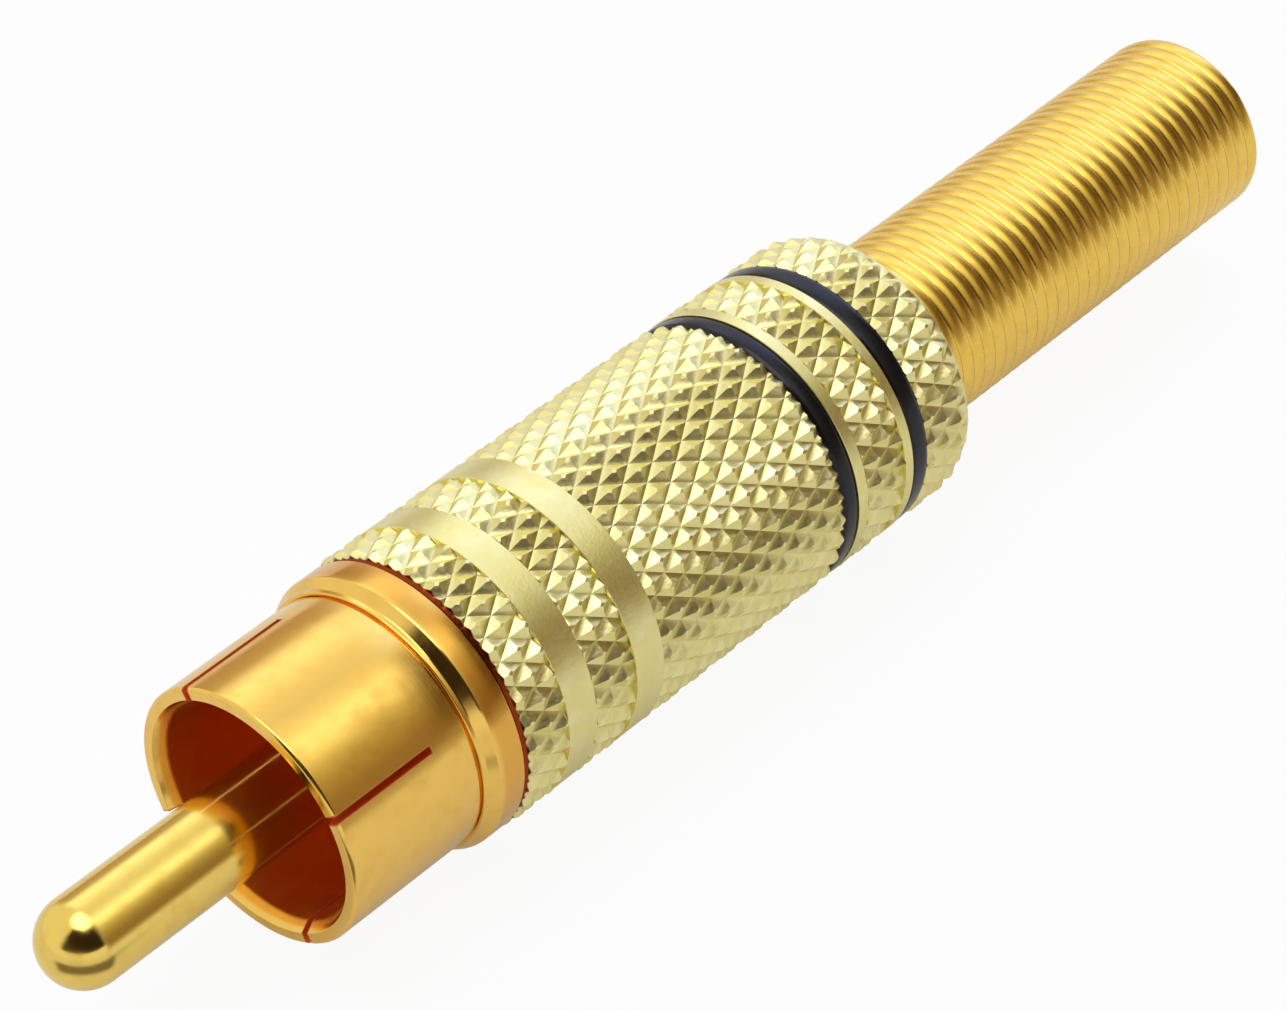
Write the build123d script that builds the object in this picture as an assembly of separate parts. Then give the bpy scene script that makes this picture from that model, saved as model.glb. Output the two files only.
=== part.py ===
from build123d import *
import math
import os

os.makedirs("parts", exist_ok=True)

# A phono plug for one screened cable: gold-plated brass, with a slotted ground sleeve
# round the contact pin, a knurled barrel that screws over the solder contacts and a
# close-wound spring that guards the cable. Sizes are in millimetres.
# The plug lies on its side. The pin points along +X and the origin is on the axis, at
# the mouth of the ground sleeve. A depth is measured back from that mouth towards the
# cable, so a point at depth d has x = -d.

# Contact pin, with its solder cup
pin_diameter = 3.2
pin_reach = 8.8
pin_face_gap = 0.1
shank_diameter = 2.4
cup_bore = 1.6
cup_floor = 0.5
cup_length = 5.2
scoop_length = 3.4

# Ground sleeve, the slotted front of the plug body
sleeve_bore = 8.3
sleeve_wall = 0.705
sleeve_length = 5.78
rim_bevel = 0.09
mouth_flare = 0.26
mouth_flare_length = 0.45
slot_count = 4
slot_width = 0.26
slot_length = 4.35
slot_turn = 58.0

# Bead and collar between the sleeve and the barrel
seam_width = 0.08
seam_drop = 0.07
bead_height = 0.12
bead_width = 0.2
collar_drop = 0.1
collar_chamfer = 0.36
collar_length = 1.06
collar_web = 0.37
barrel_gap = 0.15

# Threaded neck, whose fine thread is left smooth, and the seats behind it
neck_length = 6.0
undercut_width = 0.7
undercut_drop = 0.4
neck_chamfer = 0.3
tube_seat_length = 0.85
lug_seat_drop = 0.72
swage_lip = 0.2

# Insulator round the pin
flange_thickness = 0.7
stem_wall = 0.3
insulator_tail = 0.35

# Ground lug with its cable clamp
lug_thickness = 0.4
lug_tail_angle = 44.0
clamp_angle = 230.0
clamp_length = 4.0
clamp_gap = 1.8

# Insulating tube over the solder contacts
tube_wall = 0.3
tube_end_gap = 0.43

# Barrel: outside
barrel_wall = 0.9
knurl_depth = 0.23
knurl_teeth = 35
knurl_row = 0.733
front_knurl_length = 1.97
front_land_width = 1.33
second_knurl_length = 2.0
second_land_width = 1.33
long_knurl_length = 9.46
front_ring_width = 0.72
front_lip_width = 0.48
short_knurl_length = 2.05
rear_lip_width = 0.42
rear_ring_width = 0.87
tail_knurl_length = 1.81
shoulder_radius = 0.9
shoulder_rows = 3
ring_groove_depth = 0.28
ring_sink = 0.02

# Barrel: inside
thread_clearance = 0.05
thread_height = 0.15
thread_runout = 0.25
thread_entry = 0.2
rear_wall = 1.4

# Strain-relief spring
spring_diameter = 7.22
wire_diameter = 0.6
turn_pitch = 0.61
turn_groove = 0.26
spring_reach = 19.0
captive_step = 0.49
captive_turns = 2
coil_facets = 20

# Clearances
press_gap = 0.01
push_gap = 0.03
seat_gap = 0.1
spring_gap = 0.11
captive_room = 0.2
tube_room = 0.25

# The spring takes the cable, and its captive turns set the bore of the barrel. The
# barrel's thread and skin, the tube and the seats inside it follow that bore.
captive_diameter = spring_diameter + 2 * captive_step
barrel_bore = captive_diameter + 2 * captive_room
neck_diameter = barrel_bore + 2 * thread_height
barrel_diameter = neck_diameter + 2 * barrel_wall
collar_diameter = barrel_diameter - 2 * collar_drop
tube_seat_diameter = barrel_bore - 2 * (tube_room + tube_wall + push_gap)
lug_seat_diameter = tube_seat_diameter - 2 * lug_seat_drop
insulator_diameter = lug_seat_diameter - 2 * stem_wall
sleeve_diameter = sleeve_bore + 2 * sleeve_wall
bead_diameter = sleeve_diameter + 2 * bead_height

# Depths of the joints between the pieces
collar_start = sleeve_length + seam_width + bead_width + collar_chamfer
collar_end = collar_start + collar_length
barrel_front = collar_end + barrel_gap
flange_seat = collar_end - collar_web
cavity_depth = flange_seat - flange_thickness - press_gap
neck_end = collar_end + neck_length
tube_seat_end = neck_end + tube_seat_length
lug_seat_end = tube_seat_end + lug_thickness + push_gap
body_end = lug_seat_end + swage_lip
insulator_end = body_end + insulator_tail
cup_end = insulator_end + cup_length


# A turned piece: corners are (depth, radius) pairs round half of its section.
def turned(corners):
    outline = Polyline(*[(-depth, radius) for depth, radius in corners], close=True)
    return revolve(Plane.XZ * make_face(outline), Axis.X)


# A plain round bar or bore from one depth to another.
def bar(start, end, radius):
    return turned([(start, 0), (start, radius), (end, radius), (end, 0)])


# A stretch of rolled strip, centred on the underside: part of a tube wall.
def rolled_strip(start, end, inner, outer, angle):
    wall = Polyline(*[(-start, -inner), (-start, -outer), (-end, -outer), (-end, -inner)], close=True)
    strip = revolve(Plane.XZ * make_face(wall), Axis.X, revolution_arc=angle)
    return Rot(X=-angle / 2) * strip


# The pin is one turned rod: round nose, full diameter up to the insulator, a thinner
# shank through it and a hollow cup behind, cut away on top to take the core.
def make_contact_pin():
    radius = pin_diameter / 2
    nose_depth = radius - pin_reach
    shoulder = cavity_depth - pin_face_gap
    rod = bar(nose_depth, shoulder, radius) + Pos(-nose_depth, 0, 0) * Sphere(radius)
    rod += bar(shoulder, cup_end, shank_diameter / 2)
    rod -= bar(insulator_end + cup_floor, cup_end, cup_bore / 2)
    scoop = Pos(-cup_end + scoop_length / 2, 0, shank_diameter / 2)
    return rod - scoop * Box(scoop_length, shank_diameter, shank_diameter)


# The insulator is moulded: a flange that closes the cavity and a stem through the body.
def make_pin_insulator():
    flange = sleeve_bore / 2 - press_gap
    stem = insulator_diameter / 2
    hole = shank_diameter / 2 + press_gap
    flange_end = flange_seat - press_gap
    return turned([
        (cavity_depth, hole), (cavity_depth, flange), (flange_end, flange), (flange_end, stem),
        (insulator_end, stem), (insulator_end, hole),
    ])


# One thin saw slot in the sleeve, at the given turn from the top.
def sleeve_slot(turn):
    cut = Pos(-slot_length / 2, 0, sleeve_diameter / 2) * Box(slot_length, slot_width, sleeve_bore / 2)
    return Rot(X=-turn) * cut


# The plug body is one turned piece: slotted sleeve, bead, collar, threaded neck, and
# behind it the seats for the insulating tube and the ground lug, with a swaged lip.
def make_plug_body():
    sleeve = sleeve_diameter / 2
    bore = sleeve_bore / 2
    seam = sleeve - seam_drop
    seam_end = sleeve_length + seam_width
    bead = bead_diameter / 2
    bead_end = seam_end + bead_width
    collar = collar_diameter / 2
    neck = neck_diameter / 2
    undercut_end = collar_end + undercut_width
    tube_seat = tube_seat_diameter / 2
    lug_seat = lug_seat_diameter / 2
    stem_hole = insulator_diameter / 2 + press_gap
    body = turned([
        (0, bore + mouth_flare), (0, sleeve - rim_bevel), (rim_bevel, sleeve), (sleeve_length, sleeve),
        (sleeve_length, seam), (seam_end, seam), (seam_end, bead), (bead_end, bead),
        (collar_start, collar), (collar_end, collar), (collar_end, neck - undercut_drop),
        (undercut_end - undercut_drop / 2, neck - undercut_drop), (undercut_end, neck),
        (neck_end - neck_chamfer, neck), (neck_end, neck - neck_chamfer), (neck_end, tube_seat),
        (tube_seat_end, tube_seat), (tube_seat_end, lug_seat), (lug_seat_end, lug_seat),
        (lug_seat_end, lug_seat + swage_lip), (body_end, lug_seat + swage_lip / 2),
        (body_end, stem_hole), (flange_seat, stem_hole), (flange_seat, bore),
        (mouth_flare_length, bore),
    ])
    for number in range(slot_count):
        body -= sleeve_slot(slot_turn + number * 360 / slot_count)
    return body


# The ground lug is stamped and rolled: a ring under the swaged lip, a tail along the
# underside, and two ears that close round the cable.
def make_ground_lug():
    outer = tube_seat_diameter / 2 - push_gap
    inner = lug_seat_diameter / 2 + press_gap
    strip = outer - lug_thickness
    ring_end = tube_seat_end + push_gap / 2 + lug_thickness
    clamp_start = cup_end + clamp_gap
    clamp_end = clamp_start + clamp_length
    ring_start = tube_seat_end + push_gap / 2
    ring = turned([(ring_start, inner), (ring_start, outer), (ring_end, outer), (ring_end, inner)])
    tail = rolled_strip(ring_start, clamp_start, strip, outer, lug_tail_angle)
    ears = rolled_strip(clamp_start, clamp_end, strip, outer, clamp_angle)
    return ring + tail + ears


def make_insulating_tube():
    inner = tube_seat_diameter / 2 + push_gap
    start = neck_end + push_gap
    end = spring_start - tube_end_gap
    outer = inner + tube_wall
    return turned([(start, inner), (start, outer), (end, outer), (end, inner)])


# Radii of the barrel's outside: the lands are flush with the tops of the teeth
peak = barrel_diameter / 2
ring_floor = peak - ring_groove_depth


# One row of the barrel's skin: its depth and its radius on even and odd corners.
def plain_row(depth, radius=peak):
    return (depth, radius, radius)


# A knurl's tooth tops and valleys take turns along the row and from row to row.
def tooth_row(depth, number, height=1.0, top=peak):
    bottom = top - knurl_depth * height
    return (depth, top, bottom) if number % 2 == 0 else (depth, bottom, top)


# How many whole rows of teeth fit in a band.
def teeth_along(length):
    return max(2, round(length / knurl_row))


def knurled_band(start, length):
    steps = teeth_along(length)
    return [tooth_row(start + length * number / steps, number) for number in range(steps + 1)]


# The floor of the groove that holds a colour ring.
def ring_groove(start, width):
    return [plain_row(start, ring_floor), plain_row(start + width, ring_floor)]


# The rounded rear shoulder, on which the teeth of the tail band fade out.
def shoulder():
    rows = []
    for step in range(1, shoulder_rows + 1):
        angle = math.radians(90 * step / shoulder_rows)
        depth = shoulder_start + shoulder_radius * math.sin(angle)
        top = peak - shoulder_radius * (1 - math.cos(angle))
        number = teeth_along(tail_knurl_length) + step
        rows.append(tooth_row(depth, number, 1 - step / shoulder_rows, top))
    return rows


# Depths along the barrel, band by band
front_land_start = barrel_front + front_knurl_length
second_knurl_start = front_land_start + front_land_width
second_land_start = second_knurl_start + second_knurl_length
long_knurl_start = second_land_start + second_land_width
front_ring_start = long_knurl_start + long_knurl_length
front_lip_start = front_ring_start + front_ring_width
short_knurl_start = front_lip_start + front_lip_width
rear_lip_start = short_knurl_start + short_knurl_length
rear_ring_start = rear_lip_start + rear_lip_width
tail_knurl_start = rear_ring_start + rear_ring_width
shoulder_start = tail_knurl_start + tail_knurl_length
barrel_end = shoulder_start + shoulder_radius
spring_start = barrel_end - rear_wall - seat_gap - (captive_turns + 0.5) * turn_pitch


def barrel_rows():
    rows = knurled_band(barrel_front, front_knurl_length)
    rows += [plain_row(front_land_start), plain_row(second_knurl_start)]
    rows += knurled_band(second_knurl_start, second_knurl_length)
    rows += [plain_row(second_land_start), plain_row(long_knurl_start)]
    rows += knurled_band(long_knurl_start, long_knurl_length)
    rows += ring_groove(front_ring_start, front_ring_width)
    rows += [plain_row(front_lip_start), plain_row(short_knurl_start)]
    rows += knurled_band(short_knurl_start, short_knurl_length)
    rows += [plain_row(rear_lip_start), plain_row(rear_ring_start)]
    rows += ring_groove(rear_ring_start, rear_ring_width)
    rows += knurled_band(tail_knurl_start, tail_knurl_length)
    return rows + shoulder()


# The corners of a row, spaced evenly round the barrel.
def row_corners(row):
    depth, even, odd = row
    corners = []
    for number in range(2 * knurl_teeth):
        angle = math.pi * number / knurl_teeth
        radius = odd if number % 2 else even
        corners.append(Vector(-depth, radius * math.cos(angle), radius * math.sin(angle)))
    return corners


# Flat faces from lists of corners. A face with the same corner twice in a row is one that
# closes up to nothing, so it is left out.
def flat_faces(outlines):
    return [Face(Wire.make_polygon(corners)) for corners in outlines if not repeats(corners)]


def repeats(corners):
    return any(corner == other for corner, other in zip(corners, corners[1:] + corners[:1]))


# The faces between two rows. A cell between plain rows is one flat face. Any other is two
# triangles that meet along the valley, so that four of them make each tooth.
def cell_faces(row, next_row):
    here = row_corners(row)
    there = row_corners(next_row)
    flat = row[1] == row[2] and next_row[1] == next_row[2]
    first_is_valley = row[1] < row[2] or next_row[1] > next_row[2]
    outlines = []
    for number in range(len(here)):
        after = (number + 1) % len(here)
        corners = [here[number], here[after], there[after], there[number]]
        if flat:
            outlines += [corners]
        elif first_is_valley != (number % 2 == 1):
            outlines += [corners[:3], [corners[0], corners[2], corners[3]]]
        else:
            outlines += [[corners[0], corners[1], corners[3]], corners[1:]]
    return flat_faces(outlines)


# A flat end of a piece, from the corners of its outside in to a round hole.
def end_face(corners, hole_radius):
    plane = Plane(origin=(corners[0].X, 0, 0), x_dir=(0, 1, 0), z_dir=(1, 0, 0))
    return Face(Wire.make_polygon(corners), [Wire.make_circle(hole_radius, plane)])


# Whether a face closes the barrel at its front or rear.
def is_end(face):
    return min(abs(face.center().X + barrel_front), abs(face.center().X + barrel_end)) < press_gap


# The inside of the barrel: thread bore, open bore and the hole for the spring.
def barrel_inside():
    thread = neck_diameter / 2 + thread_clearance
    thread_end = neck_end + thread_runout
    bore = barrel_bore / 2
    wall = barrel_end - rear_wall
    hole = spring_diameter / 2 + spring_gap
    cavity = turned([
        (barrel_front, 0), (barrel_front, thread + thread_entry), (barrel_front + thread_entry, thread),
        (thread_end, thread), (thread_end, bore), (wall, bore), (wall, hole), (barrel_end, hole),
        (barrel_end, 0),
    ])
    walls = cavity.faces().filter_by(lambda face: not is_end(face))
    return walls, thread, hole


def make_barrel():
    rows = barrel_rows()
    faces = []
    for row, next_row in zip(rows, rows[1:]):
        faces += cell_faces(row, next_row)
    inside, thread, hole = barrel_inside()
    faces += inside
    faces += [end_face(row_corners(rows[0]), thread + thread_entry), end_face(row_corners(rows[-1]), hole)]
    return Solid(Shell(faces))


def make_colour_ring(start, width):
    outer = peak - ring_sink
    return turned([(start, ring_floor), (start, outer), (start + width, outer), (start + width, ring_floor)])


# A corner of the coil's skin. The steps follow the wire round, coil_facets to a turn.
def coil_corner(step, depth, radius):
    angle = 2 * math.pi * step / coil_facets
    return Vector(-depth, radius * math.cos(angle), -radius * math.sin(angle))


# The first turns of the wire are wider, and the barrel's rear wall holds them.
def coil_radius(step):
    diameter = captive_diameter if step < captive_turns * coil_facets else spring_diameter
    return diameter / 2


# A strip of triangles between two lines of corners.
def strip(line, other):
    outlines = []
    for number in range(min(len(line), len(other)) - 1):
        near, far = line[number:number + 2], other[number:number + 2]
        outlines += [[near[0], near[1], far[1]], [near[0], far[1], far[0]]]
    return outlines


# The spring is wire wound turn against turn. Its skin has a crest that runs round it as a
# helix, a floor half a turn's pitch behind the crest, and flat ground ends.
def make_spring():
    turn = coil_facets
    end = barrel_end + spring_reach
    bore = spring_diameter / 2 - wire_diameter
    steps = round((end - spring_start) / turn_pitch * turn)
    advance = (end - spring_start) / steps
    crest = [coil_corner(step, spring_start + step * advance, coil_radius(step)) for step in range(steps + 1)]
    floor = []
    for step in range(steps - turn + 1):
        depth = spring_start + (step + turn / 2) * advance
        floor.append(coil_corner(step, depth, coil_radius(step + turn) - turn_groove))
    front = [coil_corner(step, spring_start, coil_radius(step)) for step in range(turn + 1)]
    rear = [coil_corner(step, end, coil_radius(step)) for step in range(steps - turn, steps + 1)]
    outlines = strip(front, crest[:turn + 1]) + strip(crest, floor) + strip(floor, crest[turn:])
    outlines += strip(crest[-turn - 1:], rear)
    outlines += [[crest[0], floor[0], crest[turn]], [crest[-turn - 1], floor[-1], crest[-1]]]
    faces = flat_faces(outlines) + bar(spring_start, end, bore).faces().filter_by(GeomType.CYLINDER)
    faces += [end_face(front[:-1], bore), end_face(rear[:-1], bore)]
    return Solid(Shell(faces))


def write(name, shape):
    export_step(shape, f"parts/{name}.step")


write("contact_pin", make_contact_pin())
write("pin_insulator", make_pin_insulator())
write("plug_body", make_plug_body())
write("ground_lug", make_ground_lug())
write("insulating_tube", make_insulating_tube())
write("barrel", make_barrel())
write("colour_ring_front", make_colour_ring(front_ring_start, front_ring_width))
write("colour_ring_rear", make_colour_ring(rear_ring_start, rear_ring_width))
write("strain_relief_spring", make_spring())
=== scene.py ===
import math

import bmesh
import bpy
import numpy as np
from mathutils import Matrix, Vector


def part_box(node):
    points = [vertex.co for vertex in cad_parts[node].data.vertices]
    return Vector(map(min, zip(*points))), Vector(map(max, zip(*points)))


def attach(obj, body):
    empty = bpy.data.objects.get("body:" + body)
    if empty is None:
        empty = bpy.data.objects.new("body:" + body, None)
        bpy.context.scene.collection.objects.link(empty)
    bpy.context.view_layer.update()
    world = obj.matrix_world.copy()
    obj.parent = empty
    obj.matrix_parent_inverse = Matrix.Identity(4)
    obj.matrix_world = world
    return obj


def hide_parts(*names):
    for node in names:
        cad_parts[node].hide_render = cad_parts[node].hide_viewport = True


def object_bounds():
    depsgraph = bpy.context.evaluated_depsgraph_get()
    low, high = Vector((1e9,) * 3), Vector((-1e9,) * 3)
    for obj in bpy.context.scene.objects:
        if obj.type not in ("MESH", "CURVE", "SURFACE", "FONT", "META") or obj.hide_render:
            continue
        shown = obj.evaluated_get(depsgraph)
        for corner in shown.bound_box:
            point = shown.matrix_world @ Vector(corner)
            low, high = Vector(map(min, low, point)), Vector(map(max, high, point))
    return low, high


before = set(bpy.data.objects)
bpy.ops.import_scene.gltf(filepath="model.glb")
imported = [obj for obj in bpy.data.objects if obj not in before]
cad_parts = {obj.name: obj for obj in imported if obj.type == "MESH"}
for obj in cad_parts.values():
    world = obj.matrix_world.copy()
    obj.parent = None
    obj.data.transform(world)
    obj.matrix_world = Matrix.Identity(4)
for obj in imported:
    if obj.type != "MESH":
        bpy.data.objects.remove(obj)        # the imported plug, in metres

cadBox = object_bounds()
mm = 0.001
sharpAngle = 32          # degrees between two faces, past which their edge isn't smoothed

# The plug lies along X with its pin towards +X. A depth is measured back from the mouth of
# the ground sleeve, so x = -depth. A turn goes round the plug from the top (+Z) towards +Y.
# Sizes in the dictionaries are in millimetres and degrees.


def nodeSpan(node):      # front depth, rear depth and radius of a solid, in millimetres
    low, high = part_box(node)
    return -high[0] / mm, -low[0] / mm, high[1] / mm


# Profiles

# Each corner is (depth, radius, fillet). A corner with a fillet becomes an arc: its points
# are a + (b - a) * t * t + (c - a) * (1 - t) * (1 - t), the curve that leaves one side at a
# fillet's length from the corner and joins the other side at the same length.
def roundedProfile(corners, steps=4, closed=True):
    points = []
    count = len(corners)
    for number, (depth, radius, fillet) in enumerate(corners):
        corner = np.array([depth, radius])
        inside = closed or 0 < number < count - 1
        if fillet == 0 or not inside:
            points.append(corner)
            continue
        before = np.array(corners[number - 1][:2]) - corner
        after = np.array(corners[(number + 1) % count][:2]) - corner
        reach = min(fillet, 0.45 * np.linalg.norm(before), 0.45 * np.linalg.norm(after))
        start = before / np.linalg.norm(before) * reach
        end = after / np.linalg.norm(after) * reach
        for step in range(steps + 1):
            part = step / steps
            points.append(corner + start * (1 - part) ** 2 + end * part ** 2)
    return np.array(points)


# Meshes

def makeObject(name, points, faces, body, sharpDegrees=sharpAngle):
    mesh = bpy.data.meshes.new(name)
    mesh.from_pydata(points.tolist(), [], faces)
    mesh.validate()
    mesh.polygons.foreach_set("use_smooth", np.ones(len(mesh.polygons), bool))
    mesh.set_sharp_from_angle(angle=math.radians(sharpDegrees))
    piece = bpy.data.objects.new(name, mesh)
    bpy.context.scene.collection.objects.link(piece)
    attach(piece, body)
    return piece


# Points of a turned surface: x = -depth, y = radius * sin(turn), z = radius * cos(turn).
# depth, radius and turn are arrays that broadcast to rows by columns.
def turnedPoints(depth, radius, turn):
    depth, radius, turn = np.broadcast_arrays(depth, radius, turn)
    grid = np.stack([-depth, radius * np.sin(turn), radius * np.cos(turn)], axis=-1)
    return grid * mm


# Quads between the rows of a grid whose columns close up: corner (row, column) is point
# row * columns + column. Where closeRows is set, the last row joins the first.
def gridQuads(rows, columns, closeRows):
    row = np.arange(rows if closeRows else rows - 1)[:, None]
    column = np.arange(columns)[None, :]
    nextRow = (row + 1) % rows
    nextColumn = (column + 1) % columns
    corners = [row * columns + column, row * columns + nextColumn,
               nextRow * columns + nextColumn, nextRow * columns + column]
    return np.stack(np.broadcast_arrays(*corners), axis=-1)


# Faces of a turned piece, whose rows follow the profile. Each cut is (first row, last row,
# first column, last column): its quads are left out, and the wall that it opens is closed
# with one face at each side and a strip of quads from its first row to its last.
def turnedFaces(rows, columns, closeRows, cuts=()):
    quads = gridQuads(rows, columns, closeRows)
    keep = np.ones(quads.shape[:2], bool)
    extra = []
    for firstRow, lastRow, firstColumn, lastColumn in cuts:
        keep[firstRow:lastRow, firstColumn:lastColumn] = False
        wall = np.arange(firstRow, lastRow + 1) * columns
        extra.append((wall + firstColumn)[::-1].tolist())
        extra.append((wall + lastColumn % columns).tolist())
        for column in range(firstColumn, lastColumn):
            after = (column + 1) % columns
            extra.append([firstRow * columns + column, firstRow * columns + after,
                          lastRow * columns + after, lastRow * columns + column])
    return quads[keep].tolist() + extra


# Joins the points that a profile's ends have in common on the axis.
def closePoles(piece):
    work = bmesh.new()
    work.from_mesh(piece.data)
    bmesh.ops.remove_doubles(work, verts=work.verts, dist=1e-7)
    work.to_mesh(piece.data)
    work.free()
    piece.data.set_sharp_from_angle(angle=math.radians(sharpAngle))


# The knurled barrel

barrel = {
    "teeth": 35,             # round the barrel
    "toothLength": 1.466,    # along the barrel
    "depth": 0.21,           # of the grooves between the teeth
    "hollow": 1.3,           # how far the sides of the teeth are hollowed, 1 is flat
    "tip": 0.80,             # share of the full height at which the tips are worn off
    "landDrop": 0.03,        # lands below the tips
    "parts": 12,             # steps across a tooth, both ways
    "phase": 0.0,            # of the teeth along the barrel, as a share of a tooth
    "turnPhase": 0.0,        # of the teeth round the barrel, as a share of a tooth
    "bands": [               # from the front, each with its length
        ("knurl", 1.97), ("land", 1.33), ("knurl", 2.0), ("land", 1.33), ("knurl", 9.46),
        ("groove", 0.72), ("land", 0.48), ("knurl", 2.05), ("land", 0.42), ("groove", 0.87),
        ("knurl", 1.81),
    ],
    "ringGroove": 0.28,
    "shoulder": 0.9,
    "rearWall": 1.4,
    "bore": 8.6,
    "threadBore": 9.0,
    "threadLength": 6.1,
    "hole": 7.44,
    "edge": 0.02,
    "lip": 0.12,             # length of the plain front edge, painted dark red as shade in the gap behind the collar
    "lipDrop": 0.20,
    "lipBevel": 0.08,
    "faceDrop": 0.4,         # from the tips down to the outer edge of the front face
    "shoulderRows": 15,
    "shoulderFade": 48,      # degrees round the shoulder at which the teeth end
    "rowGap": 0.3,           # least distance of a row from a band's end, in steps
    "sharpDegrees": 28,
}


# Height of the diamond knurl from 0 in the grooves to 1 on the tips. Two families of grooves
# cross: with u teeth round and v teeth along, they lie where u + v and u - v are whole. The
# height is the lesser distance to a groove of either family, raised to the power hollow, so
# that the grooves are wide and the teeth pointed, and cut off at the worn tips.
def knurlHeight(depth, turn, spec):
    around = turn * spec["teeth"] / (2 * math.pi) + spec["turnPhase"]
    along = depth / spec["toothLength"] + spec["phase"]
    first = 1 - np.abs(1 - 2 * np.mod(around + along, 1))
    second = 1 - np.abs(1 - 2 * np.mod(around - along, 1))
    height = np.minimum(np.minimum(first, second), spec["tip"]) / spec["tip"]
    return height ** spec["hollow"]


# Depths of the rows in a knurled band: the band's ends and the steps of the teeth between.
def knurlRows(start, end, spec):
    step = spec["toothLength"] / spec["parts"]
    gap = spec["rowGap"] * step
    origin = -spec["phase"] * spec["toothLength"]
    first = math.ceil((start + gap - origin) / step)
    last = math.floor((end - gap - origin) / step)
    inner = origin + step * np.arange(first, last + 1)
    return np.concatenate([[start], inner, [end]])


# Bands of knurl, land and groove, a round shoulder and the stepped bore, turned as one loop.
# Where a row has teeth, radius = tips - depth * share * (1 - height of the knurl). Round the
# shoulder, depth = start + shoulder * sin(angle) and tips = peak - shoulder * (1 - cos(angle)).
def makeBarrel():
    front, rear, peak = nodeSpan("barrel")
    peak = min(peak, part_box("barrel")[1][2] / mm)    # within the solid's height as well
    spec = barrel
    edge = spec["edge"]
    land = peak - spec["landDrop"]
    floor = peak - spec["ringGroove"]
    cuts = front + np.concatenate([[0], np.cumsum([length for kind, length in spec["bands"]])])
    shoulderStart = rear - spec["shoulder"]
    depths = []
    radii = []               # of the tips, or of the plain surface
    knurled = []             # how deep the teeth are, as a share

    def addRows(newDepths, newRadii, teeth):
        newDepths = np.atleast_1d(np.asarray(newDepths, float))
        depths.append(newDepths)
        radii.append(np.broadcast_to(newRadii, newDepths.shape))
        knurled.append(np.broadcast_to(teeth, newDepths.shape))

    def addPlain(start, end, radius):
        addRows([start, start + edge, end - edge, end],
                [radius - edge, radius, radius, radius - edge], 0)

    lip = peak - spec["lipDrop"]
    addRows([front, front + spec["lip"]], [lip - spec["lipBevel"], lip], 0)
    starts = [front + spec["lip"] + edge, *cuts[1:-1]]
    ends = [*cuts[1:-1], shoulderStart]
    for (kind, length), start, end in zip(spec["bands"], starts, ends):
        if kind == "knurl":
            addRows(knurlRows(start, end, spec), peak, 1)
        elif kind == "land":
            addPlain(start, end, land)
        else:
            addRows([start, end], floor, 0)
    rows = spec["shoulderRows"]
    angle = np.radians(np.linspace(90 / rows, 90, rows))
    fade = np.clip(1 - (angle / math.radians(spec["shoulderFade"])) ** 2, 0, 1)
    addRows(shoulderStart + spec["shoulder"] * np.sin(angle),
            peak - spec["shoulder"] * (1 - np.cos(angle)), fade)

    hole = spec["hole"] / 2
    bore = spec["bore"] / 2
    thread = spec["threadBore"] / 2
    threadEnd = front + spec["threadLength"]
    wall = rear - spec["rearWall"]
    inside = roundedProfile([
        (rear, hole, 0.06), (wall, hole, 0.04), (wall, bore, 0.05), (threadEnd, bore, 0.05),
        (threadEnd, thread, 0.05), (front, thread, 0.1), (front, peak - spec["faceDrop"], 0.05),
    ], closed=False)
    addRows(inside[:, 0], inside[:, 1], 0)

    depth = np.concatenate(depths)[:, None]
    radius = np.concatenate(radii)[:, None]
    share = np.concatenate(knurled)[:, None]
    columns = spec["teeth"] * spec["parts"]
    column = np.arange(columns)[None, :] - spec["turnPhase"] * spec["parts"]
    turn = 2 * math.pi * column / columns
    height = knurlHeight(depth, turn, spec)
    radius = radius - spec["depth"] * share * (1 - height)
    points = turnedPoints(depth, radius, turn).reshape(-1, 3)
    quads = gridQuads(len(depth), columns, True)

    # Each quad is split along the grooves that are nearest to its middle.
    middleDepth = (depth + np.roll(depth, -1, axis=0)) / 2
    middleTurn = turn + math.pi / columns
    around = middleTurn * spec["teeth"] / (2 * math.pi) + spec["turnPhase"]
    along = middleDepth / spec["toothLength"] + spec["phase"]
    first = np.abs(1 - 2 * np.mod(around + along, 1))
    second = np.abs(1 - 2 * np.mod(around - along, 1))
    leftward = (first > second)[..., None, None]
    oneWay = np.stack([quads[..., [0, 1, 3]], quads[..., [1, 2, 3]]], axis=-2)
    otherWay = np.stack([quads[..., [0, 1, 2]], quads[..., [0, 2, 3]]], axis=-2)
    triangles = np.where(leftward, oneWay, otherWay).reshape(-1, 3)
    piece = makeObject("barrel_shell", points, triangles.tolist(), "barrel", spec["sharpDegrees"])
    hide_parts("barrel")
    print("barrel", len(triangles), "triangles")
    return piece


# The black rings

ringSpec = {
    "sink": 0.06,            # below the barrel's tips
    "crown": 0.02, "edge": 0.05, "edgePower": 12, "sideGap": 0.003,
    "rows": 9, "columns": 256, "sharpDegrees": 40,
}


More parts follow.
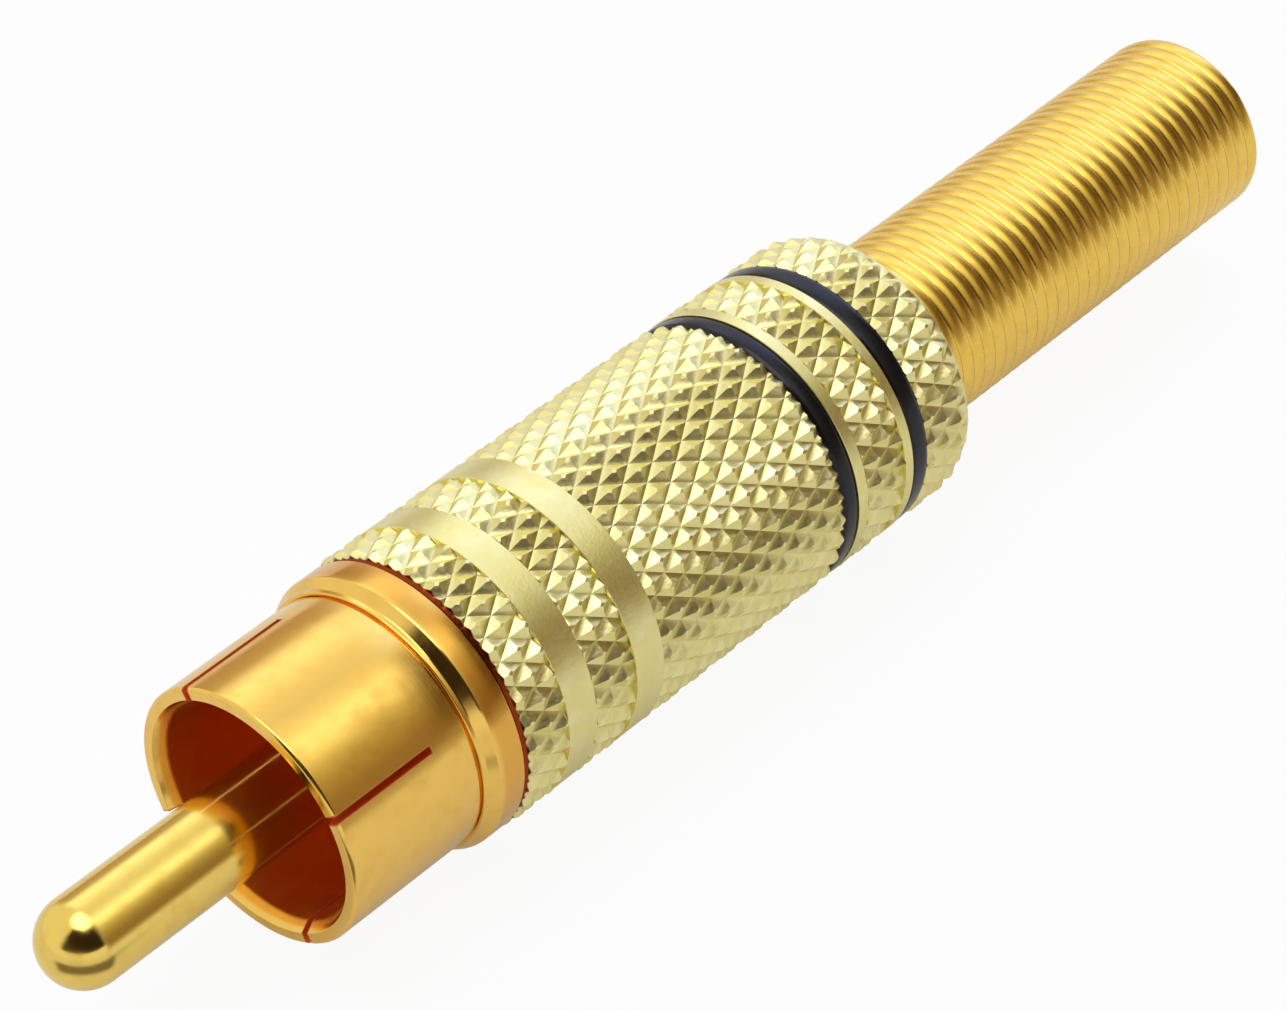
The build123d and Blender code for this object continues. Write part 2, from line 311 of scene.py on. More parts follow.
# A ring that fills its groove. Its outside is crowned and drops at the edges: with t from -1
# to 1 across the ring, radius = top - crown * t * t - edge * |t| to the power edgePower.
def makeRing(node):
    front, rear, outer = nodeSpan(node)
    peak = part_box("barrel")[1][2] / mm
    top = peak - ringSpec["sink"]
    inner = peak - barrel["ringGroove"]
    across = np.linspace(-1, 1, ringSpec["rows"])
    drop = ringSpec["edge"] * np.abs(across) ** ringSpec["edgePower"]
    depth = (front + rear) / 2 + across * ((rear - front) / 2 - ringSpec["sideGap"])
    radius = top - ringSpec["crown"] * across ** 2 - drop
    depth = np.concatenate([depth, [rear, front]])
    radius = np.concatenate([radius, [inner, inner]])
    turn = np.linspace(0, 2 * math.pi, ringSpec["columns"], endpoint=False)[None, :]
    points = turnedPoints(depth[:, None], radius[:, None], turn).reshape(-1, 3)
    faces = turnedFaces(len(depth), ringSpec["columns"], True)
    piece = makeObject(node + "_band", points, faces, "barrel", ringSpec["sharpDegrees"])
    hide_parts(node)
    return piece


# The plug body: sleeve, bead, collar and threaded neck

plugBody = {
    "sleeve": 9.71, "bore": 8.3, "cavity": 6.4, "flangeSeat": 7.11, "sleeveLength": 5.78,
    "flare": 0.26, "flareLength": 0.45, "bevel": 0.09,
    "slots": 4, "slotWidth": 0.26, "slotLength": 4.35, "slotTurn": 58.0,
    "slotSide": 1.9,         # degrees from a slot's middle to the column after it
    "slotSpare": 0.7,        # degrees more to the column before it
    "seam": 0.09, "seamDrop": 0.11, "bead": 9.95, "beadWidth": 0.2,
    "collar": 10.5, "chamfer": 0.36, "collarLength": 1.06,
    "neck": 8.9, "neckLength": 6.0, "undercut": 0.7, "undercutDrop": 0.4,
    "thread": 0.34, "threadPitch": 0.75, "threadFade": 0.3, "threadParts": 12,
    "threadCrest": 1.15,     # over 1, so that the crests are flat
    "tubeSeat": 7.44, "tubeSeatLength": 0.85, "lugSeat": 6.0, "lugSeatLength": 0.43,
    "lip": 0.2, "stemHole": 5.42,
    "columns": 160,
}


# The profile is turned as one loop. At each slot two columns stand half the slot's width from
# its middle, turn = centre -+ arcsin(half width / radius), and the mouth's quads between them
# are left out.
def makePlugBody():
    spec = plugBody
    sleeve = spec["sleeve"] / 2
    bore = spec["bore"] / 2
    collar = spec["collar"] / 2
    neck = spec["neck"] / 2
    seam = spec["sleeveLength"]
    seamEnd = seam + spec["seam"]
    beadEnd = seamEnd + spec["beadWidth"]
    collarStart = beadEnd + spec["chamfer"]
    collarEnd = collarStart + spec["collarLength"]
    threadStart = collarEnd + spec["undercut"]
    neckEnd = collarEnd + spec["neckLength"]
    tubeSeatEnd = neckEnd + spec["tubeSeatLength"]
    lugSeatEnd = tubeSeatEnd + spec["lugSeatLength"]
    bodyEnd = lugSeatEnd + spec["lip"]
    mouth = roundedProfile([
        (spec["slotLength"], bore, 0), (spec["flareLength"], bore, 0.1),
        (0, bore + spec["flare"], 0.03), (0, sleeve - spec["bevel"], 0.04),
        (spec["bevel"], sleeve, 0.05), (spec["slotLength"], sleeve, 0),
    ], closed=False)
    seamFloor = sleeve - spec["seamDrop"]
    undercut = neck - spec["undercutDrop"]
    outside = roundedProfile([
        (spec["slotLength"], sleeve, 0), (seam, sleeve, 0.03), (seam, seamFloor, 0.02),
        (seamEnd, seamFloor, 0.02), (seamEnd, spec["bead"] / 2, 0.05),
        (beadEnd, spec["bead"] / 2, 0.05), (collarStart, collar, 0.07),
        (collarEnd, collar, 0.05), (collarEnd, undercut, 0.08),
        (threadStart - spec["undercutDrop"] / 2, undercut, 0.05), (threadStart, neck, 0),
    ], closed=False)[1:]
    turnsAlong = (neckEnd - threadStart) / spec["threadPitch"]
    threadRows = np.linspace(threadStart, neckEnd, int(turnsAlong * spec["threadParts"]))[1:]
    thread = np.stack([threadRows, np.full(len(threadRows), neck)], axis=-1)
    tubeSeat = spec["tubeSeat"] / 2
    lugSeat = spec["lugSeat"] / 2
    stemHole = spec["stemHole"] / 2
    behind = roundedProfile([
        (neckEnd, neck - spec["thread"], 0), (neckEnd, tubeSeat, 0.05),
        (tubeSeatEnd, tubeSeat, 0.05), (tubeSeatEnd, lugSeat, 0.04),
        (lugSeatEnd, lugSeat, 0.04), (lugSeatEnd, lugSeat + spec["lip"], 0.04),
        (bodyEnd, lugSeat + spec["lip"] / 2, 0.05), (bodyEnd, stemHole, 0.03),
        (spec["flangeSeat"], stemHole, 0), (spec["flangeSeat"], bore, 0),
        (spec["cavity"], bore, 0),
    ], closed=False)[1:]
    profile = np.concatenate([mouth, outside, thread, behind])
    depth = profile[:, :1]
    radius = profile[:, 1:]

    # Columns are even round the body, apart from those at the sides of each slot.
    half = math.radians(spec["slotSide"])
    spans = spec["columns"] // spec["slots"]
    centres = [math.radians(spec["slotTurn"]) + 2 * math.pi * slot / spec["slots"]
               for slot in range(spec["slots"])]
    turns = []
    for centre in centres:
        last = centre + 2 * math.pi / spec["slots"] - half
        turns += [centre - half, *np.linspace(centre + half, last, spans - 1)[:-1]]
        turns += [last - math.radians(spec["slotSpare"])]
    turn = np.broadcast_to(np.array(turns)[None, :], (len(profile), len(turns))).copy()
    cuts = []
    for slot, centre in enumerate(centres):
        column = slot * len(turns) // spec["slots"]
        reach = np.arcsin(spec["slotWidth"] / 2 / radius[:, 0])
        turn[:, column] = centre - reach
        turn[:, column + 1] = centre + reach
        cuts.append((0, len(mouth) - 1, column, column + 1))

    # The thread is a ridge that runs round as a helix. It is highest where depth / pitch -
    # turn / full turn is whole, lowest halfway between, and it fades out at both ends.
    phase = np.mod((depth - threadStart) / spec["threadPitch"] - turn / (2 * math.pi), 1)
    ridge = np.clip(spec["threadCrest"] * np.abs(1 - 2 * phase), 0, 1)
    fade = np.clip((depth - threadStart) / spec["threadFade"], 0, 1)
    firstThread = len(mouth) + len(outside)
    inThread = np.zeros(len(profile), bool)
    inThread[firstThread:firstThread + len(thread)] = True
    radius = np.where(inThread[:, None], radius - spec["thread"] * fade * (1 - ridge), radius)
    taper = np.clip((depth - neckEnd) / spec["threadFade"] + 1, 0, 1) * spec["thread"]
    radius = np.where(inThread[:, None], np.minimum(radius, neck - taper), radius)

    points = turnedPoints(depth, radius, turn).reshape(-1, 3)
    faces = turnedFaces(len(profile), len(turns), True, cuts)
    piece = makeObject("plug_shell", points, faces, "plug")
    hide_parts("plug_body")
    print("plug body", len(faces), "faces")
    return piece


# The contact pin, with its solder cup

contactPin = {
    "seatEnd": 6.3, "shank": 2.4, "cupBore": 1.6, "cupFloor": 15.81, "cupPoint": 0.2,
    "scoop": 3.4, "noseSteps": 24, "columns": 96,
}


# The nose is a half ball: its points are at depth centre - radius * cos(angle) and at radius
# * sin(angle) from the axis. Behind it the profile is turned, and the upper half of the cup's
# end is cut away.
def makePin():
    spec = contactPin
    front, rear, radius = nodeSpan("contact_pin")
    angle = np.linspace(0, math.pi / 2, spec["noseSteps"])
    nose = np.stack([front + radius - radius * np.cos(angle), radius * np.sin(angle)], axis=-1)
    scoopStart = rear - spec["scoop"]
    shank = spec["shank"] / 2
    cupBore = spec["cupBore"] / 2
    body = roundedProfile([
        (front + radius, radius, 0), (spec["seatEnd"], radius, 0.05),
        (spec["seatEnd"], shank, 0.04), (scoopStart, shank, 0),
    ], closed=False)[1:]
    cup = roundedProfile([
        (scoopStart, shank, 0), (rear, shank, 0.05), (rear, cupBore, 0.05),
        (scoopStart, cupBore, 0),
    ], closed=False)[1:]
    floor = np.array([[spec["cupFloor"], cupBore], [spec["cupFloor"] - spec["cupPoint"], 0.0]])
    profile = np.concatenate([nose, body, cup, floor])
    columns = spec["columns"]
    turn = 2 * math.pi * np.arange(columns)[None, :] / columns - math.pi / 2
    points = turnedPoints(profile[:, :1], profile[:, 1:], turn).reshape(-1, 3)
    firstRow = len(nose) + len(body) - 1
    cut = (firstRow, firstRow + len(cup), 0, columns // 2)
    faces = turnedFaces(len(profile), columns, False, [cut])
    piece = makeObject("contact_pin_turned", points, faces, "plug")
    closePoles(piece)
    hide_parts("contact_pin")
    return piece


# The spring

spring = {
    "wire": 0.605, "pitch": 0.61, "coil": 7.22, "wideCoil": 8.2, "wideTurns": 1.85,
    "crown": 1.05, "edge": 0.006, "endTurn": 215.0,
    "narrowing": 0.3,        # turns in which the coil narrows behind the wide ones
    "spare": 0.1,            # turns wound past each end
    "around": 72, "crownSteps": 9, "sharpDegrees": 40,
}


# The section of the wire, as (across, outward) points: winding has pressed its sides flat and
# left its outside and inside crowned, as arcs of the radius crown.
def wireSection(spec):
    half = spec["wire"] / 2
    across = np.linspace(-1, 1, spec["crownSteps"]) * (half - spec["edge"])
    rise = half - spec["crown"] + np.sqrt(spec["crown"] ** 2 - across ** 2)
    outer = np.stack([across, rise], axis=-1)
    inner = np.stack([-across, -rise], axis=-1)
    side = np.array([[half, rise[0] - spec["edge"]], [half, -rise[0] + spec["edge"]]])
    return np.concatenate([outer, side, inner, -side])


# A wire along a helix. With t turns wound, the wire's middle is at depth start + pitch * t,
# at the coil's radius and at the turn t - last plus the end's turn. What stands past either
# end is ground flat.
def makeSpring():
    spec = spring
    start, end, widest = nodeSpan("strain_relief_spring")
    half = spec["wire"] / 2
    last = (end - start) / spec["pitch"]
    spare = spec["spare"]
    rows = int((last + 2 * spare) * spec["around"])
    turns = np.linspace(-spare, last + spare, rows)[:, None]
    narrow = np.clip((turns - spec["wideTurns"]) / spec["narrowing"], 0, 1)
    narrow = narrow * narrow * (3 - 2 * narrow)
    middle = (spec["wideCoil"] * (1 - narrow) + spec["coil"] * narrow) / 2 - half
    section = wireSection(spec)
    depth = np.clip(start + spec["pitch"] * turns + section[None, :, 0], start, end)
    radius = middle + section[None, :, 1]
    turn = 2 * math.pi * (turns - last) + math.radians(spec["endTurn"])
    points = turnedPoints(depth, radius, turn).reshape(-1, 3)
    count = len(section)
    quads = gridQuads(len(turns), count, False).reshape(-1, 4)[:, ::-1]
    lastRow = (len(turns) - 1) * count
    caps = [list(range(count)), list(range(lastRow, lastRow + count))[::-1]]
    piece = makeObject("spring_coil", points, quads.tolist() + caps, "spring",
                       spec["sharpDegrees"])
    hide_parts("strain_relief_spring")
    print("spring", len(quads), "quads")
    return piece


# Materials

# Wraps an output socket, so that a sum or a product of sockets adds its Math nodes.
class Wire:
    def __init__(self, tree, socket):
        self.tree = tree
        self.socket = socket

    def math(self, operation, *values):
        settings = {"operation": operation}
        return addNode(self.tree, "ShaderNodeMath", settings, dict(enumerate(values)))

    def __add__(self, other):
        return self.math("ADD", self, other)

    def __radd__(self, other):
        return self.math("ADD", other, self)

    def __sub__(self, other):
        return self.math("SUBTRACT", self, other)

    def __rsub__(self, other):
        return self.math("SUBTRACT", other, self)

    def __mul__(self, other):
        return self.math("MULTIPLY", self, other)

    def __rmul__(self, other):
        return self.math("MULTIPLY", other, self)

    def __truediv__(self, other):
        return self.math("DIVIDE", self, other)

    def __rtruediv__(self, other):
        return self.math("DIVIDE", other, self)


# Adds one node: its type, its settings, then the values or links of its input sockets.
def addNode(tree, kind, settings=None, inputs=None, output=0):
    node = tree.nodes.new(kind)
    for name, value in (settings or {}).items():
        if name == "stops":
            setStops(node.color_ramp, value)
        else:
            setattr(node, name, value)
    for name, value in (inputs or {}).items():
        if isinstance(value, Wire):
            tree.links.new(value.socket, node.inputs[name])
        else:
            node.inputs[name].default_value = value
    return Wire(tree, node.outputs[output]) if node.outputs else node


def setStops(ramp, stops):
    while len(ramp.elements) < len(stops):
        ramp.elements.new(0.5)
    for element, (place, colour) in zip(ramp.elements, stops):
        element.position = place
        element.color = (*colour, 1)


def noise(tree, place, scale, detail=2.0, roughness=0.5):
    inputs = {"Vector": place, "Scale": scale, "Detail": detail, "Roughness": roughness}
    return addNode(tree, "ShaderNodeTexNoise", {}, inputs)


# Object coordinates in millimetres, stretched by the three factors.
def coordinates(tree, stretch=(1, 1, 1)):
    source = addNode(tree, "ShaderNodeTexCoord", {}, {}, "Object")
    scale = tuple(1 / mm * factor for factor in stretch)
    return addNode(tree, "ShaderNodeMapping", {}, {"Vector": source, "Scale": scale})


def axes(tree, vector):
    split = addNode(tree, "ShaderNodeSeparateXYZ", {}, {"Vector": vector}, "X")
    return [Wire(tree, split.socket.node.outputs[name]) for name in "XYZ"]


def smooth(tree, value, low, high, toLow=0.0, toHigh=1.0):
    settings = {"interpolation_type": "SMOOTHSTEP"}
    inputs = {"Value": value, "From Min": low, "From Max": high, "To Min": toLow, "To Max": toHigh}
    return addNode(tree, "ShaderNodeMapRange", settings, inputs)


def mixColour(tree, share, first, second):
    inputs = {0: share, 6: (*first, 1) if isinstance(first, tuple) else first,
              7: (*second, 1) if isinstance(second, tuple) else second}
    return addNode(tree, "ShaderNodeMix", {"data_type": "RGBA"}, inputs, 2)


def newMaterial(name):
    material = bpy.data.materials.new(name)
    material.use_nodes = True
    tree = material.node_tree
    tree.nodes.clear()
    return material, tree


def bumps(tree, distance, height):
    inputs = {"Strength": 1.0, "Distance": distance, "Height": height}
    return addNode(tree, "ShaderNodeBump", {}, inputs)


def finish(tree, inputs):
    shader = addNode(tree, "ShaderNodeBsdfPrincipled", {}, inputs)
    addNode(tree, "ShaderNodeOutputMaterial", {}, {"Surface": shader})


# The inside and slot colours are painted shade: deep reds in place of the light reflected back and
# forth between the gold walls of the sleeve and its slots.
sleeveGold = {
    "colour": (0.93, 0.60, 0.135), "dull": (0.90, 0.55, 0.115), "rose": (0.82, 0.445, 0.08),
    "roseFrom": 6.4, "inside": (0.99, 0.46, 0.055), "insideTo": 4.25, "insideRoughness": 0.36,
    "slot": (0.85, 0.22, 0.06), "slotRoughness": 0.6, "slotCosine": (0.984, 0.991),
    "slotDepth": (0.01, 0.05), "slotRim": 0.4,
    "roughness": 0.15, "roughnessSpread": 0.08, "rings": 0.0000010,
}
pinGold = {
    "colour": (0.90, 0.66, 0.155), "dull": (0.86, 0.60, 0.13),
    "roughness": 0.13, "roughnessSpread": 0.08, "rings": 0.0000006,
}


# Polished gold plate over a turned face: fine rings round the piece, a little grain and faint
# clouds. On the body the plate is redder from the depth roseFrom back. Inside the sleeve and in
# the slots, which lie where the cosine of (turn - slot turn) times their number is near 1, the
# colour is painted shade: a deep red in place of the light that gold throws back and forth in
# these hollows.
def polishedGold(name, spec):
    material, tree = newMaterial(name)
    place = coordinates(tree)
    x, y, z = axes(tree, place)
    rings = noise(tree, coordinates(tree, (9, 0.25, 0.25)), 1.0, 3.0)
    clouds = noise(tree, place, 1.4, 3.0)
    grain = noise(tree, place, 16.0, 2.0)
    colour = mixColour(tree, smooth(tree, clouds, 0.45, 0.75), spec["colour"], spec["dull"])
    rough = smooth(tree, clouds, 0.35, 0.75) * spec["roughnessSpread"] + spec["roughness"]
    if "rose" in spec:
        behind = smooth(tree, 0 - x, spec["roseFrom"], spec["roseFrom"] + 0.3)
        colour = mixColour(tree, behind, colour, spec["rose"])
        reach = y * y + z * z
        inside = spec["insideTo"]
        shadedInside = smooth(tree, reach, inside ** 2, (inside + 0.1) ** 2, 1.0, 0.0)
        shadedInside = shadedInside * (1 - behind)
        turn = y.math("ARCTAN2", y, z) - math.radians(plugBody["slotTurn"])
        turn = turn * plugBody["slots"]
        shadedSlot = smooth(tree, turn.math("COSINE", turn), *spec["slotCosine"])
        slotEnd = plugBody["slotLength"]
        shadedSlot = shadedSlot * smooth(tree, 0 - x, slotEnd, slotEnd + 0.1, 1.0, 0.0)
        outer, inner = [(plugBody["sleeve"] / 2 - drop) ** 2 for drop in spec["slotDepth"]]
        shadedSlot = shadedSlot * smooth(tree, reach, inner, outer, 1.0, spec["slotRim"])
        # Painted shade: the inside of the sleeve and the slots take deep reds in place of the
        # light that bounces between gold walls.
        colour = mixColour(tree, shadedInside, colour, spec["inside"])
        colour = mixColour(tree, shadedSlot, colour, spec["slot"])
        rough = rough + shadedInside * (spec["insideRoughness"] - spec["roughness"])
        rough = rough + shadedSlot * (spec["slotRoughness"] - spec["roughness"])
    normal = bumps(tree, spec["rings"], rings * 0.7 + grain * 0.3)
    finish(tree, {"Base Color": colour, "Metallic": 1.0, "Roughness": rough, "Normal": normal})
    return material


# The dark red for the barrel's front edge is painted shade, for the gap behind the collar.
satin = {
    "colour": (0.84, 0.76, 0.305), "pale": (0.89, 0.82, 0.39), "gapShade": (0.30, 0.05, 0.012),
    "gapShadeSoft": 0.04, "roughness": 0.28, "roughnessSpread": 0.12, "grain": 0.000008,
}


# Pale satin gold plate: a fine pearly grain in the height, the colour and the gloss, and painted
# shade of dark red on the barrel's front edge, where it lies in the gap behind the collar.
def satinGold():
    material, tree = newMaterial("satin gold")
    grain = noise(tree, coordinates(tree), 9.0, 4.0, 0.6)
    clouds = noise(tree, coordinates(tree), 1.1, 3.0)
    colour = mixColour(tree, smooth(tree, clouds, 0.4, 0.7), satin["colour"], satin["pale"])
    # Painted shade: the front edge, in the gap behind the collar, is coloured dark red as if in
    # shadow.
    depth = 0 - axes(tree, coordinates(tree))[0]
    gapShadeEnd = nodeSpan("barrel")[0] + barrel["lip"]
    unshaded = smooth(tree, depth, gapShadeEnd, gapShadeEnd + satin["gapShadeSoft"])
    colour = mixColour(tree, unshaded, satin["gapShade"], colour)
    rough = smooth(tree, grain, 0.3, 0.7) * satin["roughnessSpread"] + satin["roughness"]
    normal = bumps(tree, satin["grain"], grain)
    finish(tree, {"Base Color": colour, "Metallic": 1.0, "Roughness": rough, "Normal": normal})
    return material


wireGold = {
    "colour": (0.94, 0.64, 0.118), "dull": (0.91, 0.60, 0.105),
    "roughness": 0.24, "roughnessSpread": 0.06, "grain": 0.000001,
}


# Gold-plated drawn wire, with fine scratches round the coil.
def springGold():
    material, tree = newMaterial("spring gold")
    clouds = noise(tree, coordinates(tree), 1.7, 3.0)
    drawn = noise(tree, coordinates(tree, (12, 1.5, 1.5)), 1.0, 2.0)
    rough = smooth(tree, clouds, 0.3, 0.7) * wireGold["roughnessSpread"] + wireGold["roughness"]
    colour = mixColour(tree, smooth(tree, clouds, 0.4, 0.7), wireGold["colour"], wireGold["dull"])
    normal = bumps(tree, wireGold["grain"], drawn)
    finish(tree, {"Base Color": colour, "Metallic": 1.0, "Roughness": rough, "Normal": normal})
    return material


enamelBlack = {
    "colour": (0.004, 0.004, 0.005), "pale": (0.009, 0.009, 0.011),
    "roughness": 0.16, "roughnessSpread": 0.08, "grain": 0.000003, "specular": 0.3,
}


def blackEnamel():
    material, tree = newMaterial("black enamel")
    grain = noise(tree, coordinates(tree), 9.0, 3.0)
    clouds = noise(tree, coordinates(tree), 2.0, 2.0)
    colour = mixColour(tree, clouds, enamelBlack["colour"], enamelBlack["pale"])
    spread = smooth(tree, grain, 0.3, 0.7) * enamelBlack["roughnessSpread"]
    normal = bumps(tree, enamelBlack["grain"], grain)
    finish(tree, {"Base Color": colour, "Roughness": spread + enamelBlack["roughness"],
                  "Normal": normal, "Specular IOR Level": enamelBlack["specular"]})
    return material


insulatorRed = {
    "colour": (0.90, 0.17, 0.02), "shade": (0.78, 0.12, 0.015),
    "roughness": 0.35, "roughnessSpread": 0.1, "grain": 0.000004,
}
tubeWhite = {
    "colour": (0.86, 0.85, 0.80), "shade": (0.80, 0.79, 0.73),
    "roughness": 0.4, "roughnessSpread": 0.1, "grain": 0.000004,
}


def mouldedPlastic(name, spec):
    material, tree = newMaterial(name)
    grain = noise(tree, coordinates(tree), 12.0, 3.0)
    clouds = noise(tree, coordinates(tree), 0.8, 2.0)
    colour = mixColour(tree, smooth(tree, clouds, 0.3, 0.7), spec["colour"], spec["shade"])
    rough = smooth(tree, grain, 0.3, 0.7) * spec["roughnessSpread"] + spec["roughness"]
    normal = bumps(tree, spec["grain"], grain)
    finish(tree, {"Base Color": colour, "Roughness": rough, "Normal": normal})
    return material


def wear(piece, material):
    piece.data.materials.clear()
    piece.data.materials.append(material)


# Studio

studio = {
    "cameraPlace": (71.6, 80.7, 107.4),
    "right": (-0.66449, 0.74731, 0.0),
    "up": (-0.4929, -0.4383, 0.7517),
    "focalPixels": 4705.0,
    "imageWidth": 1286.0,
    "floorSize": 1.2, "floorLit": (0.86, 0.86, 0.86),
    "floorPlain": 0.93,      # share of the floor that the camera sees as plain white
    "floorTone": (0.84, 0.8232, 0.798),
    "floorInMetal": 0.35,    # share of it that metal sees as plain floorTone
    # The patch is a painted shadow on the floor, which only metal reflects.
    "shadowPatch": (8.0, 0.0), "patchTurn": 52.0, "patchFacing": (0.28, 0.55),
    "patchFrom": (7.5, 10.5), "patchTo": (20.0, 25.0),
    "shadowTone": (0.07, 0.04, 0.02), "shadowShare": 0.45,
}


def makeCamera():
    right = Vector(studio["right"]).normalized()
    up = Vector(studio["up"]).normalized()
    back = right.cross(up)
    data = bpy.data.cameras.new("camera")
    data.sensor_width = 36.0
    data.lens = studio["focalPixels"] / studio["imageWidth"] * data.sensor_width
    data.clip_start = 0.005
    camera = bpy.data.objects.new("camera", data)
    turned = Matrix((right, up, back)).transposed().to_4x4()
    camera.matrix_world = Matrix.Translation(Vector(studio["cameraPlace"]) * mm) @ turned
    bpy.context.scene.collection.objects.link(camera)
    bpy.context.scene.camera = camera


# A white floor. To the camera most of it is plain white, and the rest is lit, so that it
# keeps a soft shadow. In metal a part of it is a plain pale tone, with a painted shadow in front
# of the sleeve that only metal reflects: a dark patch, part of a ring round its centre, on the
# side where patchTurn points.
def makeFloor():
    size = studio["floorSize"] / 2
    height = cadBox[0][2]
    corners = np.array([[-size, -size, height], [size, -size, height],
                        [size, size, height], [-size, size, height]])
    mesh = bpy.data.meshes.new("floor")
    mesh.from_pydata(corners.tolist(), [], [[0, 1, 2, 3]])
    floor = bpy.data.objects.new("floor", mesh)
    bpy.context.scene.collection.objects.link(floor)
    material, tree = newMaterial("floor")
    path = addNode(tree, "ShaderNodeLightPath", {}, {}, "Is Camera Ray")
    glossy = Wire(tree, path.socket.node.outputs["Is Glossy Ray"])
    transmitted = Wire(tree, path.socket.node.outputs["Is Transmission Ray"])
    lit = addNode(tree, "ShaderNodeBsdfDiffuse", {}, {"Color": (*studio["floorLit"], 1)})
    place = coordinates(tree)
    across, along = axes(tree, place)[:2]
    apart = addNode(tree, "ShaderNodeVectorMath", {"operation": "DISTANCE"},
                    {0: place, 1: (*studio["shadowPatch"], 0.0)}, 1)
    shadowPatch = smooth(tree, apart, *studio["patchFrom"])
    shadowPatch = shadowPatch * smooth(tree, apart, *studio["patchTo"], 1.0, 0.0)
    turn = math.radians(studio["patchTurn"])
    ahead = (across - studio["shadowPatch"][0]) * math.cos(turn)
    aside = (along - studio["shadowPatch"][1]) * math.sin(turn)
    shadowPatch = shadowPatch * smooth(tree, (ahead + aside) / apart, *studio["patchFacing"])
    # Painted shadow: a dark tone on the floor that only reflections see, for shade on the table in
    # front of the sleeve.
    reflected = mixColour(tree, shadowPatch, studio["floorTone"], studio["shadowTone"])
    tone = mixColour(tree, path, reflected, (1.0, 1.0, 1.0))
    plain = addNode(tree, "ShaderNodeEmission", {}, {"Color": tone, "Strength": 1.0})
    inMetal = shadowPatch * studio["shadowShare"] + studio["floorInMetal"]
    share = path * studio["floorPlain"] + (glossy + transmitted) * inMetal
    mixed = addNode(tree, "ShaderNodeMixShader", {}, {0: share, 1: lit, 2: plain})
    addNode(tree, "ShaderNodeOutputMaterial", {}, {"Surface": mixed})
    mesh.materials.append(material)


# The room round the plug. Each band is a direction, in degrees from straight up towards +Y,
# and the light that comes from there.
room = {
    "rampScale": 0.4,        # of the light in the ramps, whose colours go up to 1
    "bands": [
        (-180, (0.60, 0.54, 0.46)), (-110, (0.50, 0.36, 0.26)), (-92, (0.50, 0.32, 0.20)),
        (-68, (0.58, 0.50, 0.42)), (-52, (1.45, 1.50, 1.70)), (-40, (1.35, 1.35, 1.45)),
        (-24, (1.00, 1.00, 1.00)), (-8, (0.88, 0.88, 0.86)), (4, (1.05, 1.05, 1.05)),
        (14, (1.50, 1.50, 1.50)), (24, (1.40, 1.38, 1.30)), (38, (0.72, 0.68, 0.48)),
        (50, (0.50, 0.40, 0.24)), (66, (0.33, 0.24, 0.14)), (80, (0.30, 0.20, 0.12)),
        (94, (0.72, 0.70, 0.62)), (120, (0.80, 0.78, 0.76)), (180, (0.60, 0.54, 0.46)),
    ],
    "bandsBehind": [
        (-180, (0.60, 0.54, 0.46)), (-125, (0.80, 0.85, 0.95)), (-110, (0.50, 0.50, 0.62)),
        (-97, (0.60, 0.60, 0.72)), (-80, (0.82, 0.82, 0.95)), (-55, (1.00, 1.02, 1.25)),
        (-34, (1.25, 1.42, 2.20)), (-20, (1.30, 1.55, 2.50)), (-6, (1.05, 1.15, 1.80)),
        (-1, (0.84, 0.84, 0.80)), (8, (0.40, 0.32, 0.18)), (18, (0.13, 0.08, 0.03)),
        (62, (0.10, 0.05, 0.02)), (76, (0.22, 0.16, 0.09)), (90, (0.56, 0.50, 0.42)),
        (102, (0.76, 0.72, 0.66)), (140, (0.76, 0.72, 0.66)), (180, (0.60, 0.54, 0.46)),
    ],
    "behindFrom": -0.62, "behindTo": -0.53,
    "front": (0.90, 0.88, 0.84),
    "lamp": (3.0, 2.9, 3.2), "lampFrom": 0.90, "lampTo": 0.965,
    "frontFrom": -0.36, "frontTo": -0.10,
    "core": (0.030, 0.018, 0.012),
    "coreTurn": 60.0,        # direction of the dark core, from +X towards +Y
    "coreReach": 0.30, "coreSoft": 0.25,
    "coreLow": 0.24, "coreHigh": 0.90,
}


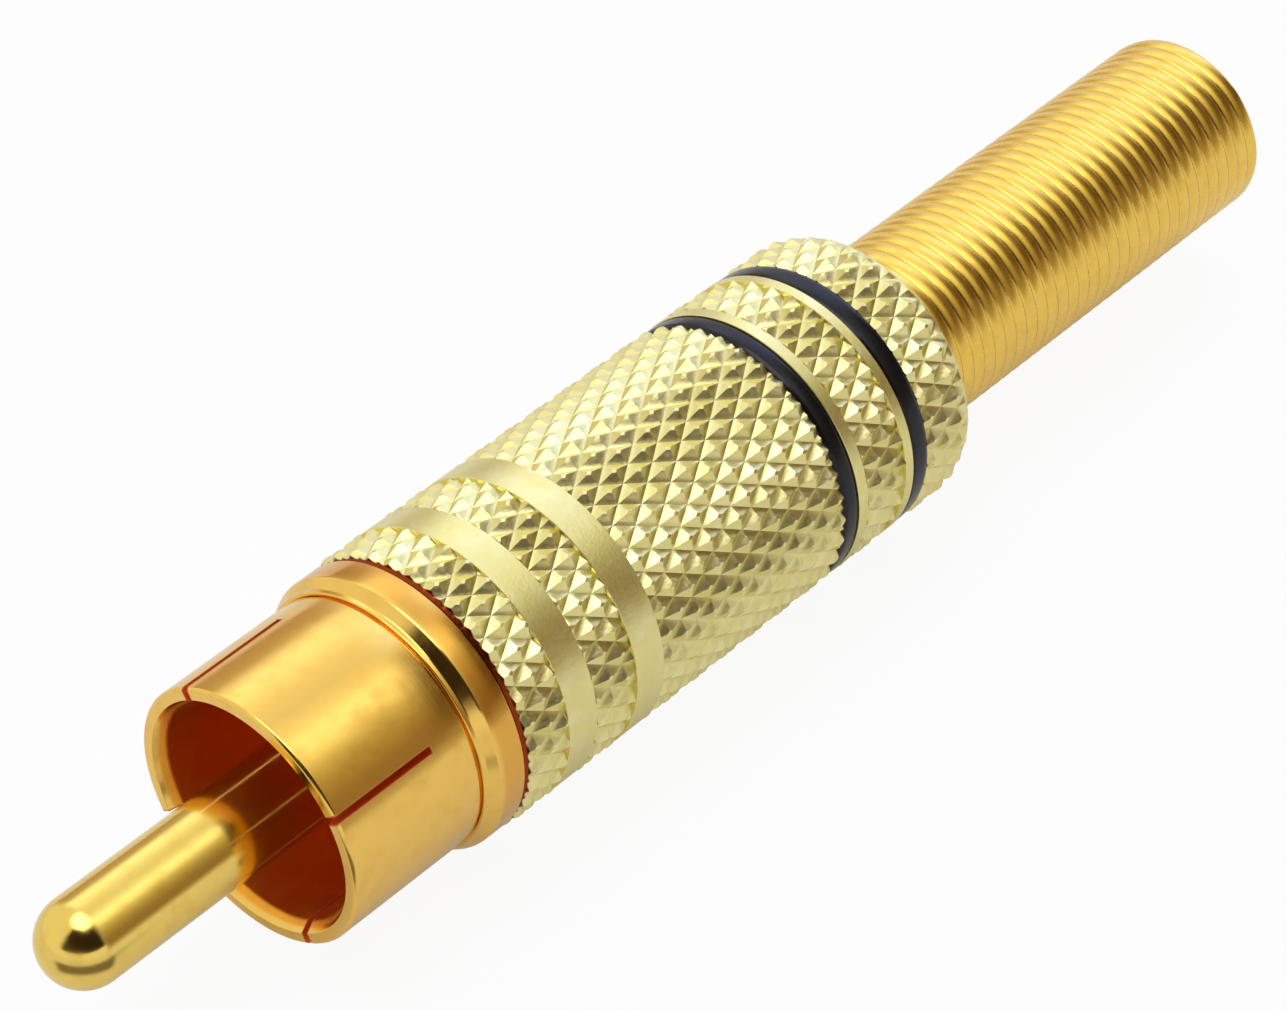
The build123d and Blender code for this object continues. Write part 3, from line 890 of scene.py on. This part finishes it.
# The bands are a ramp over the direction's angle in the plane across the plug, so they run
# along it as long windows would. Other bands take their place behind the plug, and in front
# of it they fade into plain light with a lamp overhead. The dark core lies there: it is where
# the direction's turn and height are both in its ranges.
def makeWorld():
    world = bpy.data.worlds.new("room")
    bpy.context.scene.world = world
    world.use_nodes = True
    tree = world.node_tree
    tree.nodes.clear()
    direction = addNode(tree, "ShaderNodeTexCoord", {}, {}, "Generated")
    x, y, z = axes(tree, direction)
    angle = y.math("ARCTAN2", y, z) / (2 * math.pi) + 0.5
    ramps = []
    for bands in (room["bandsBehind"], room["bands"]):
        stops = [((degrees + 180) / 360, tuple(room["rampScale"] * part for part in light))
                 for degrees, light in bands]
        ramps.append(addNode(tree, "ShaderNodeValToRGB", {"stops": stops}, {"Fac": angle}))
    banded = mixColour(tree, smooth(tree, x, room["behindFrom"], room["behindTo"]), *ramps)
    scaled = addNode(tree, "ShaderNodeVectorMath", {"operation": "SCALE"},
                     {0: banded, "Scale": 1 / room["rampScale"]})
    ahead = smooth(tree, x, room["frontFrom"], room["frontTo"])
    overhead = smooth(tree, z, room["lampFrom"], room["lampTo"])
    light = mixColour(tree, ahead, scaled,
                      mixColour(tree, overhead, room["front"], room["lamp"]))
    level = x * x + y * y + 0.0001
    level = level.math("SQRT", level)
    turn = math.radians(room["coreTurn"])
    facing = (x * math.cos(turn) + y * math.sin(turn)) / level
    ragged = noise(tree, direction, 5.0, 3.0) * 0.2 - 0.1
    inTurn = smooth(tree, facing + ragged, room["coreReach"], room["coreReach"] + room["coreSoft"])
    inHeight = smooth(tree, z, room["coreLow"], room["coreLow"] + 0.03)
    under = smooth(tree, z + ragged, room["coreHigh"], room["coreHigh"] + 0.02, 1.0, 0.0)
    seen = mixColour(tree, inTurn * inHeight * under * ahead, light, room["core"])
    path = addNode(tree, "ShaderNodeLightPath", {}, {}, "Is Camera Ray")
    colour = mixColour(tree, path, seen, (1.0, 1.0, 1.0))
    background = addNode(tree, "ShaderNodeBackground", {}, {"Color": colour, "Strength": 1.0})
    addNode(tree, "ShaderNodeOutputWorld", {}, {"Surface": background})


def buildScene():
    makeCamera()
    makeFloor()
    makeWorld()
    bpy.context.scene.view_settings.view_transform = "Standard"
    gold = polishedGold("sleeve gold", sleeveGold)
    wear(makeBarrel(), satinGold())
    enamel = blackEnamel()
    wear(makeRing("colour_ring_front"), enamel)
    wear(makeRing("colour_ring_rear"), enamel)
    wear(makePlugBody(), gold)
    plainGold = polishedGold("pin gold", pinGold)
    wear(makePin(), plainGold)
    wear(makeSpring(), springGold())
    wear(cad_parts["pin_insulator"], mouldedPlastic("insulator", insulatorRed))
    wear(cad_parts["insulating_tube"], mouldedPlastic("tube", tubeWhite))
    wear(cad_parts["ground_lug"], plainGold)
    print("scene ready")


buildScene()
